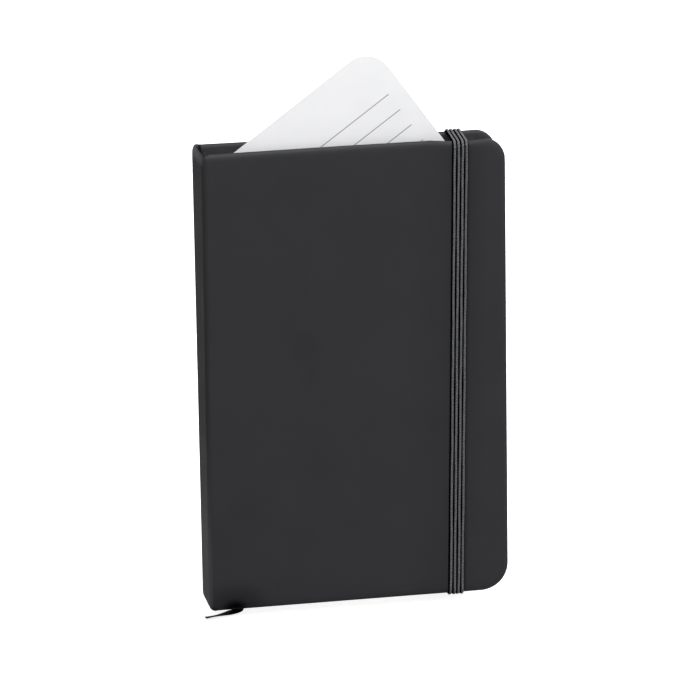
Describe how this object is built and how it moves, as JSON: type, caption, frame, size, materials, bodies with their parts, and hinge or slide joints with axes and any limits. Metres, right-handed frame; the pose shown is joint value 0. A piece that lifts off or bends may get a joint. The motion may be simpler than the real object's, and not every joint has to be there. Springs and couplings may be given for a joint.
{
  "type": "pocket notebook",
  "caption": "Hard-cover pocket notebook with an elastic closure, a ribbon marker and a loose ruled sheet kept behind its front cover.",
  "frame": {"origin": "centre of the flat outer face of the spine", "axes": "+X from the spine to the fore-edge, +Y from the front cover to the back cover, +Z from tail to head"},
  "size_m": [0.0949, 0.0184, 0.1686],
  "materials": {
    "cover": "matt, smooth, soft-touch imitation leather",
    "board": "raw grey board",
    "endpaper": "uncoated",
    "page": "uncoated, ruled",
    "sheet": "uncoated, ruled in grey",
    "elastic": "ribbed woven elastic",
    "ribbon": "satin ribbon",
    "mull": "open-weave cotton",
    "band": "cotton",
    "thread": "waxed linen"
  },
  "bodies": {
    "back_cover": {"back_board": "board", "back_cover_skin": "cover", "back_joint_skin": "cover", "back_pastedown": "endpaper", "back_flyleaf": "endpaper", "section_4": "page", "section_5": "page", "section_6": "page", "spine_lining": "mull", "headband": "band", "tailband": "band", "sewing_thread": "thread"},
    "spine": {"spine_board": "board", "spine_skin": "cover"},
    "front_joint": {"front_joint_skin": "cover", "front_flyleaf": "endpaper"},
    "front_cover": {"front_board": "board", "front_cover_skin": "cover", "front_pastedown": "endpaper"},
    "upper_pages": {"section_1": "page", "section_2": "page", "section_3": "page"},
    "elastic": {"elastic_band": "elastic"},
    "ribbon": {"ribbon_marker": "ribbon"},
    "loose_sheet": {"loose_sheet": "sheet"}
  },
  "joints": [
    {"name": "book_opening", "type": "hinge", "parent": "back_cover", "child": "upper_pages", "pos_m": [0.00195, -0.00007, 0], "axis": [0, 0, -1], "range_deg": [0, 178], "deforming": ["spine_lining", "headband", "tailband", "sewing_thread"]},
    {"name": "spine_fold", "type": "hinge", "parent": "back_cover", "child": "spine", "pos_m": [0, 0.0075, 0], "axis": [0, 0, -1], "range_deg": [0, 90]},
    {"name": "front_joint_fold", "type": "hinge", "parent": "spine", "child": "front_joint", "pos_m": [0, -0.0075, 0], "axis": [0, 0, -1], "range_deg": [0, 90]},
    {"name": "front_cover_hinge", "type": "hinge", "parent": "front_joint", "child": "front_cover", "pos_m": [-0.0003, -0.0078, 0], "axis": [0, 0, -1], "range_deg": [0, 176]},
    {"name": "elastic_release", "type": "slide", "parent": "back_cover", "child": "elastic", "axis": [1, 0, 0], "range_m": [0, 0.03], "deforming": ["elastic_band"]},
    {"name": "ribbon_swing", "type": "hinge", "parent": "back_cover", "child": "ribbon", "pos_m": [0.0053, 0.00017, 0.066], "axis": [0, -1, 0], "range_deg": [0, 8]},
    {"name": "loose_sheet_slide", "type": "slide", "parent": "upper_pages", "child": "loose_sheet", "axis": [0, 0, 1], "range_m": [0, 0.065]}
  ],
  "couplings": [
    {"joint": "spine_fold", "follows": "book_opening", "ratio": 0.5},
    {"joint": "front_joint_fold", "follows": "book_opening", "ratio": 0.5}
  ]
}
